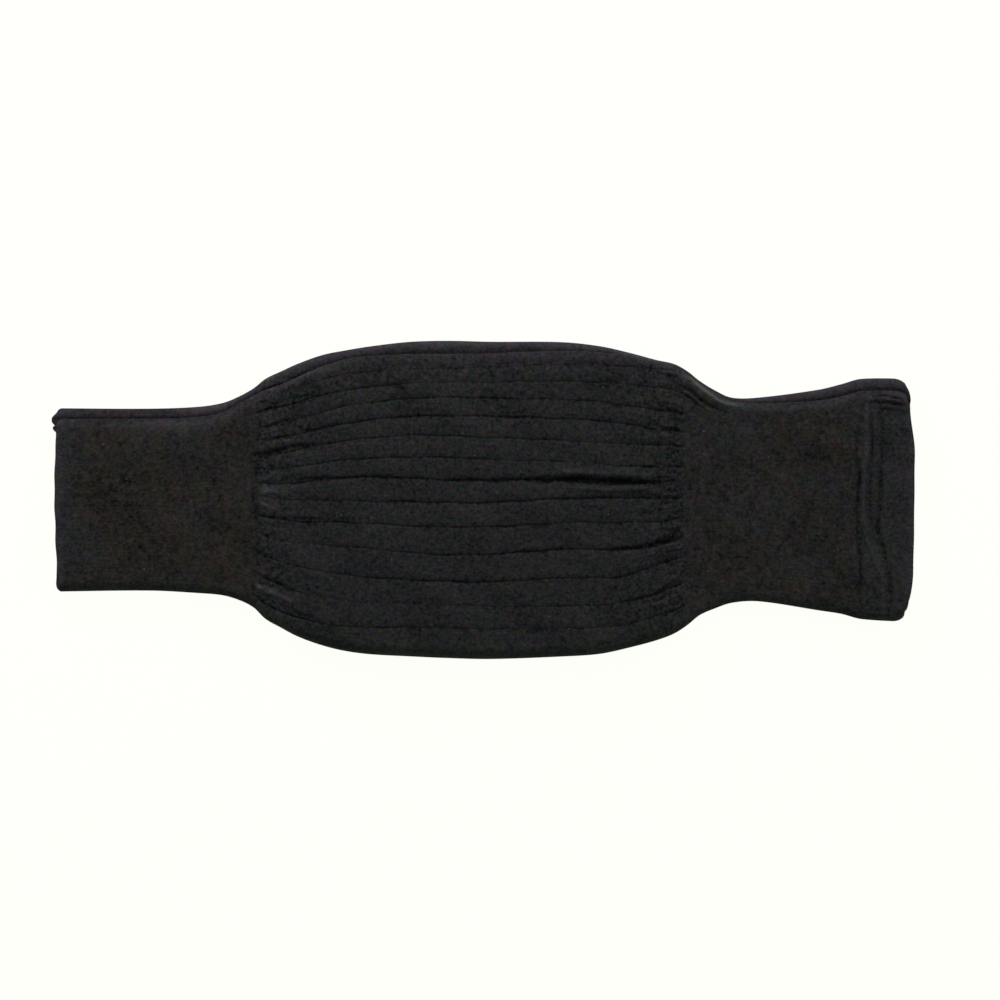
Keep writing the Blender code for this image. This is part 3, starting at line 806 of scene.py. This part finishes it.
# Where the calf seam draws the knit in: the troughs, ridges and dimples on both sides of it.
CALF_CREASES = (
    Crease(0.7, 0.5, ((112.6, 31.1), (120.5, 31.9), (128.3, 32.1))),
    Crease(0.7, 0.5, ((125.2, 39.5), (129.4, 35.8), (137.7, 36.3))),
    Crease(1.0, 0.7, ((108.4, 46.3), (115.2, 49.4), (123.1, 52.5), (134.6, 54.1))),
    Crease(0.9, 0.6, ((107.9, 36.8), (116.8, 39.5), (124.1, 42.1))),
    Crease(1.2, 1.2, ((109.5, 22.7), (115.2, 24.8), (123.1, 27.4), (128.3, 28.0), (138.8, 28.5))),
    Crease(0.8, 0.7, ((110.0, -9.1), (120.5, -10.2), (123.1, -11.8))),
    Crease(0.7, 0.6, ((123.1, -9.7), (144.0, -10.7))),
    Crease(1.0, 0.8, ((107.4, -40.0), (113.2, -42.1), (119.2, -44.7), (124.4, -47.3))),
    Crease(0.6, 0.4, ((119.9, -38.9), (124.1, -38.2))),
    Crease(1.4, -1.2, ((106.9, -45.2), (115.2, -49.4), (124.1, -53.6))),
    Crease(0.8, 0.6, ((108.7, -52.5), (119.9, -55.7), (128.3, -59.8), (139.8, -64.0))),
    Crease(0.7, 0.5, ((154.4, -69.8), (164.9, -75.0))),
    Crease(1.6, 1.0, ((103.0, -46.4), (104.4, -45.6))),
    Crease(0.9, -0.5, ((105.8, -43.6), (108.4, -49.9))),
    Crease(1.8, -0.8, ((107.6, 3.4), (116.8, 4.6))),
    Crease(1.5, -1.0, ((109.8, 6.5), (109.6, -6.0))),
    Crease(1.0, -1.4, ((105.6, -44.4), (106.8, -47.2))),
    Crease(2.2, -0.6, ((121.5, 6.0), (134.5, 6.0))),
    Crease(1.3, -0.6, ((108.0, -1.9), (115.2, -6.5))),
    Crease(1.8, 0.5, ((101.1, 49.4), (101.1, 25.9))),
    Crease(1.0, 0.5, ((106.2, 50.0), (107.4, 38.0), (106.6, 26.0))),
    Crease(1.4, 1.0, ((106.9, 22.0), (105.2, 12.0), (104.4, 1.0), (106.4, -8.0), (107.2, -17.0))),
    Crease(0.9, 0.9, ((107.2, -19.0), (106.8, -28.0), (106.2, -39.0))),
    Crease(1.7, 0.9, ((109.0, 22.6), (115.0, 24.4), (123.0, 26.8))),
    Crease(1.1, 0.8, ((124.0, 9.9), (137.0, 10.9), (154.0, 10.9))),
    Crease(1.4, 0.5, ((110.0, 35.8), (120.0, 40.0), (131.0, 43.0))),
)
CALF_PUCKERS = puckers(seed=3, seam=CALF_SEAM, way=1, count=26, past=1, longest=12, deepest=0.4)
CALF_WELT, CALF_WELT_RISE, CALF_WELT_FADE = 9.0, 0.15, 1.0

for warmer in WARMERS:
    along = rows_between(warmer, CALF_END, CALF_SEAM - SEAM_GAP / 2)
    place = plain_columns(warmer, along)
    past_welt = ease(along, CALF_WELT - CALF_WELT_FADE, CALF_WELT + CALF_WELT_FADE)
    welt = CALF_WELT_RISE * (1 - past_welt)[:, None]
    raised = relief(warmer, along, place, CALF_CREASES + CALF_PUCKERS, welt)
    piece = tube(f"{warmer}_calf_cuff_cloth", cuff_knit, warmer, along, place, raised, free_start=True)
    girth = 4 * section(warmer, along).half.mean()
    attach(piece, "root")
    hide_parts(f"{warmer}_calf_cuff")

# -------------------------------------------------------------------------------------------------
# Knee panels. A knee panel is a wide tube of ribbed knit, with thirteen grooves on each side, that
# is gathered into both cuffs. It is thicker than the cuffs, and puckered most along the thigh seam.
# -------------------------------------------------------------------------------------------------
rib_knit = knitted("rib_knit", wale=2.2, course=1.7, relief_depth=0.18, clearness=0.1, colourful=1.0)

# Where the thigh seam draws the knit in: deep tucks in the neck above it, dimples on both sides,
# the deepest groove with the ribs beside it, and dents in the thigh cuff.
THIGH_CREASES = (
    Crease(0.8, 2.2, ((326.4, 59.6), (333.2, 56.2), (338.4, 51.4), (342.6, 48.6), (348.5, 46.0))),
    Crease(0.6, -0.8, ((326.4, 58.2), (332.0, 55.0), (337.6, 49.8), (343.0, 46.6))),
    Crease(0.6, 1.3, ((327.6, 55.4), (332.6, 52.8), (337.6, 48.2))),
    Crease(0.9, -1.4, NECK_CREST),
    Crease(1.5, 1.7, ((315.5, -23.8), (321.0, -21.2), (324.3, -17.9), (326.9, -13.9))),
    Crease(0.8, 0.6, ((308.6, 38.4), (313.9, 38.9), (319.1, 36.3), (324.3, 34.2))),
    Crease(0.6, 0.45, ((319.1, -31.6), (324.3, -30.6))),
    Crease(0.6, 0.45, ((313.9, 28.5), (319.1, 29.0))),
    Crease(0.6, 0.45, ((306.0, 17.0), (313.9, 17.0))),
    Crease(0.6, 0.45, ((316.5, 29.5), (320.6, 30.1), (323.8, 28.5))),
    Crease(0.6, 0.45, ((316.5, 23.3), (324.8, 23.8))),
    Crease(0.9, 0.7, ((295.6, -54.1), (306.0, -52.0), (313.9, -49.4), (326.9, -43.6))),
    Crease(0.9, 0.6, ((279.9, -76.6), (292.9, -74.5), (301.8, -71.9))),
    Crease(2.2, 0.2, ((358.3, 43.4), (384.4, 43.4), (415.8, 45.2))),
    Crease(1.0, 2.5, ((262.0, 10.4), (274.7, 10.2), (290.0, 8.8), (303.0, 8.8), (313.0, 9.2))),
    Crease(1.2, -0.8, ((268.0, 6.7), (285.0, 5.2), (303.0, 5.0), (313.0, 5.8))),
    Crease(1.6, -0.8, ((262.0, 14.4), (280.0, 13.8), (300.0, 13.0), (312.0, 13.0))),
    Crease(1.2, 1.3, ((288.0, -26.6), (302.0, -25.8), (311.0, -24.3), (326.0, -18.8))),
    Crease(1.0, 0.5, ((370.0, 46.0), (370.8, 32.0), (371.5, 19.0))),
    Crease(1.4, 0.4, ((372.4, 27.4), (376.0, 24.8), (379.7, 21.2))),
    Crease(1.4, 0.4, ((409.5, -43.1), (413.7, -45.2), (417.3, -46.8))),
    Crease(8.0, 0.3, ((385.0, 20.0), (410.0, 20.0))),
)
THIGH_PUCKERS = puckers(seed=5, seam=THIGH_SEAM, way=-1, count=54, past=4, longest=14, deepest=0.65)

# From a side fold to its nearest groove the mesh is close at both; each rib has its own columns.
# They crowd towards its grooves, and more so away from the seams. The rows are close at the seams.
EDGE_REACH = 14
EDGE_STEPS = np.array((*FOLD_STEPS, 8.2, 9.4, 10.5, 11.4, 12.1, 12.7, 13.2, 13.5, 13.8)) / EDGE_REACH
RIB_COLUMNS = {"lower": 8, "upper": 22}
BACK_RIB_COLUMNS = 8
CROWDED, CROWDED_MORE, CROWDED_FROM, CROWDED_TO = 0.35, 0.3, 8, 30
CLOSE_ROWS = 30


def rib_columns(warmer, along, per_rib):
    """Shares across a ribbed face, closely spaced at its folds and in its grooves."""
    lines = groove_lines(along[:, None])[0]
    lines = 1 - lines[::-1] if warmer == "lower" else lines
    marks = np.concatenate((np.zeros_like(lines[:1]), lines, np.ones_like(lines[:1])))
    t = np.arange(per_rib) / per_rib
    from_seam = np.minimum(along - CALF_SEAM, THIGH_SEAM - along)[:, None]
    crowded = CROWDED + CROWDED_MORE * ease(from_seam, CROWDED_FROM, CROWDED_TO)
    across_rib = t - crowded * np.sin(2 * np.pi * t) / (2 * np.pi)
    steps = [EDGE_STEPS] + [across_rib] * (len(GROOVES) - 1)
    steps.append(np.concatenate(((0,), 1 - EDGE_STEPS[:0:-1])))
    spans = [start + (end - start) * step for start, end, step in zip(marks, marks[1:], steps)]
    return np.concatenate(spans, axis=1)


for warmer in WARMERS:
    along = rows_between(warmer, CALF_SEAM + SEAM_GAP / 2, THIGH_SEAM - SEAM_GAP / 2)
    near_seams = (along < CALF_SEAM + CLOSE_ROWS) | (along > THIGH_SEAM - CLOSE_ROWS)
    along = along[near_seams | (np.arange(len(along)) % 2 == 0)]
    face, back = (rib_columns(warmer, along, n) for n in (RIB_COLUMNS[warmer], BACK_RIB_COLUMNS))
    place = np.concatenate((face, 1 + back), axis=1)
    folds = CALF_CREASES + CALF_PUCKERS + THIGH_CREASES + THIGH_PUCKERS
    raised = relief(warmer, along, place, folds)
    piece = tube(f"{warmer}_knee_panel_cloth", rib_knit, warmer, along, place, raised)
    girth = 4 * section(warmer, along).half.mean()
    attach(piece, "root")
    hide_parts(f"{warmer}_knee_panel")

# -------------------------------------------------------------------------------------------------
# Thigh cuffs. A thigh cuff is a tube of the same fine plain knit as the calf cuff. It is narrow
# just above the knee, with the panel's puckers running out into it, and widens up the thigh.
# -------------------------------------------------------------------------------------------------
WELT_SEAM = 421.5

# The wavy lines where the welt is sewn down: the hem's dip, a ridge, a faint dip and a last groove.
HEM_CREASES = (
    Crease(1.0, 1.1, ((421.0, 42.0), (419.7, 32.0), (419.4, 22.0), (421.5, 12.0), (420.4, 4.0),
                      (419.7, -9.0), (420.4, -22.0), (421.4, -32.0), (421.6, -52.0))),
    Crease(0.9, -1.2, ((424.3, 54.0), (425.0, 26.0), (423.4, 14.0), (422.8, -8.0), (425.0, -22.0),
                       (428.6, -32.0), (432.6, -44.0), (433.0, -56.0))),
    Crease(0.7, 1.0, ((426.9, 47.0), (427.1, 33.0), (426.6, 15.0), (426.0, -8.0), (427.4, -18.0))),
    Crease(1.0, 1.4, ((431.4, 49.4), (431.9, 33.0), (431.2, 15.4), (430.8, -5.5), (429.6, -16.0),
                      (433.0, -30.0), (435.8, -44.0), (436.4, -54.0))),
)

for warmer in WARMERS:
    along = rows_between(warmer, THIGH_SEAM + SEAM_GAP / 2, WELT_SEAM - SEAM_GAP / 2)
    place = plain_columns(warmer, along)
    raised = relief(warmer, along, place, THIGH_CREASES + THIGH_PUCKERS + HEM_CREASES)
    piece = tube(f"{warmer}_thigh_cuff_cloth", cuff_knit, warmer, along, place, raised)
    girth = 4 * section(warmer, along).half.mean()
    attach(piece, "root")
    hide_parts(f"{warmer}_thigh_cuff")

# -------------------------------------------------------------------------------------------------
# Thigh welts. A thigh welt is the knit turned in at the top and sewn down, so it is a flat band,
# a little raised, with a line of stitches in a shallow groove. Its end is open and bulges a bit.
# -------------------------------------------------------------------------------------------------
WELT_RISE, WELT_RISE_OVER = 0.2, 2.0

# Where the sewing and the corner pull: two grooves along the upper fold, and a short one across it.
WELT_CREASES = (
    Crease(0.7, 1.8, ((425.2, 54.4), (434.1, 53.9), (443.5, 51.8))),
    Crease(0.7, -0.7, ((425.0, 52.6), (434.1, 52.4), (443.5, 50.4))),
    Crease(0.8, 1.5, ((424.1, 50.4), (434.1, 50.7), (444.5, 48.9))),
    Crease(1.3, 0.8, ((427.8, 47.6), (436.7, 46.2), (446.5, 44.6))),
    Crease(0.6, 0.6, ((423.6, 60.9), (423.6, 49.4))),
)


def welt_relief(warmer, along, place):
    """The welt's own relief: it rises a little beyond its seam, and has the hem's lines."""
    rise = WELT_RISE * ease(along, WELT_SEAM, WELT_SEAM + WELT_RISE_OVER)[:, None]
    return relief(warmer, along, place, WELT_CREASES + HEM_CREASES, rise)


# A stitch is a bead of yarn. Its rings lie at shares of half its length, with shares of its radius.
STITCH, STITCH_PITCH, STITCH_RADIUS = 1.7, 2.5, 0.32
STITCH_SHAPE = ((-1.0, 0.35), (-0.75, 0.85), (0.0, 1.0), (0.75, 0.85), (1.0, 0.35))
STITCH_SIDES = 6


def stitches(name, warmer, crease):
    """A row of small stitches of yarn round the welt, sunk to half their thickness in a crease."""
    line = np.array(crease.points)[::-1]
    count = round(4 * float(section(warmer, np.array(line[0, 0])).half) / STITCH_PITCH)
    ends = (np.arange(count)[:, None] + 0.5 + np.array([-0.5, 0.5]) * STITCH / STITCH_PITCH) * 2 / count
    place = ends.reshape(-1, 1)
    along = np.interp(drawn_across(warmer, line[0, 0], place[:, 0]), line[:, 1], line[:, 0])
    raised = welt_relief(warmer, along, place)
    tips = outside(warmer, along, place, raised).reshape(-1, 2, 3)
    tips[..., 2] = np.maximum(tips[..., 2], STITCH_RADIUS)  # none is pressed below the underside
    points, faces = [], []
    for start, end in tips:
        middle, half = (start + end) / 2, (end - start) / 2
        side = np.array([1.0, 0.0, 0.0])
        up = np.cross(side, half / np.linalg.norm(half))
        first = len(points)
        for share, thick in STITCH_SHAPE:
            for turn in np.arange(STITCH_SIDES) * 2 * np.pi / STITCH_SIDES:
                round_it = side * np.cos(turn) + up * np.sin(turn)
                points.append(middle + half * share + round_it * thick * STITCH_RADIUS)
        for ring in range(len(STITCH_SHAPE) - 1):
            for i in range(STITCH_SIDES):
                a, b = (first + ring * STITCH_SIDES + (i + k) % STITCH_SIDES for k in (0, 1))
                faces.append((a, b, b + STITCH_SIDES, a + STITCH_SIDES))
        last = first + (len(STITCH_SHAPE) - 1) * STITCH_SIDES
        faces.append(tuple(range(first + STITCH_SIDES - 1, first - 1, -1)))
        faces.append(tuple(range(last, last + STITCH_SIDES)))
    mesh = bpy.data.meshes.new(name)
    mesh.from_pydata((np.array(points) * MM).tolist(), [], faces)
    mesh.shade_smooth()
    mesh.materials.append(cuff_knit)
    return placed(name, mesh)


for warmer in WARMERS:
    along = rows_between(warmer, WELT_SEAM + SEAM_GAP / 2, THIGH_END)
    place = plain_columns(warmer, along)
    raised = welt_relief(warmer, along, place)
    piece = tube(f"{warmer}_thigh_welt_cloth", cuff_knit, warmer, along, place, raised, free_end=True)
    row = stitches(f"{warmer}_welt_stitches", warmer, HEM_CREASES[-1])
    girth = 4 * section(warmer, along).half.mean()
    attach(piece, "root")
    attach(row, "root")
    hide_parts(f"{warmer}_thigh_welt")

# -------------------------------------------------------------------------------------------------
# Floor, light and camera. The pair lies on a plain white floor in soft light from all round and
# from two large low lamps, beyond the upper edge and at the right. It is seen from straight above.
# -------------------------------------------------------------------------------------------------
FLOOR_SIZE, FLOOR_COLOUR = 6.0, (0.03, 0.03, 0.03, 1.0)
GLOW, GLOW_COLOUR = 0.98, (1.0, 1.0, 0.95, 1.0)
ROOM_LIGHT, ROOM_COLOUR = 0.42, (1.0, 1.0, 1.0, 1.0)
bpy.ops.mesh.primitive_plane_add(size=FLOOR_SIZE)
floor = bpy.context.object
floor.name = "floor"
paper = bpy.data.materials.new("paper")
paper.use_nodes = True
surface = paper.node_tree.nodes["Principled BSDF"]
surface.inputs["Base Color"].default_value = FLOOR_COLOUR
surface.inputs["Roughness"].default_value = 1.0
surface.inputs["Specular IOR Level"].default_value = 0.0
surface.inputs["Emission Color"].default_value = GLOW_COLOUR
surface.inputs["Emission Strength"].default_value = GLOW
floor.data.materials.append(paper)

world = bpy.data.worlds.new("room")
world.use_nodes = True
world.node_tree.nodes["Background"].inputs["Color"].default_value = ROOM_COLOUR
world.node_tree.nodes["Background"].inputs["Strength"].default_value = ROOM_LIGHT
bpy.context.scene.world = world

Lamp = namedtuple("Lamp", "name place size power")
for lamp in (
    Lamp("key", (-0.5, 1.1, 0.68), (1.1, 0.7), 25.0),
    Lamp("side", (1.25, 0.3, 0.55), (0.7, 0.6), 6.0),
):
    light = bpy.data.lights.new(lamp.name, "AREA")
    light.shape = "RECTANGLE"
    light.size, light.size_y = lamp.size
    light.energy = lamp.power
    holder = placed(lamp.name, light)
    holder.location = lamp.place
    holder.rotation_euler = Vector(lamp.place).to_track_quat("Z", "Y").to_euler()

# The photo's frame spans 522.65 mm at the height of the cloth, seen through a long lens.
VIEW_MIDDLE, VIEW_WIDTH, VIEW_HEIGHT, CLOTH_TOP = (7.84, -0.26), 522.65, 4000.0, 10.0
lens = bpy.data.cameras.new("camera")
lens.sensor_width = 36.0
lens.lens = lens.sensor_width * (VIEW_HEIGHT - CLOTH_TOP) / VIEW_WIDTH
camera = placed("camera", lens)
camera.location = (VIEW_MIDDLE[0] * MM, VIEW_MIDDLE[1] * MM, VIEW_HEIGHT * MM)
bpy.context.scene.camera = camera
bpy.context.scene.view_settings.view_transform = "Standard"
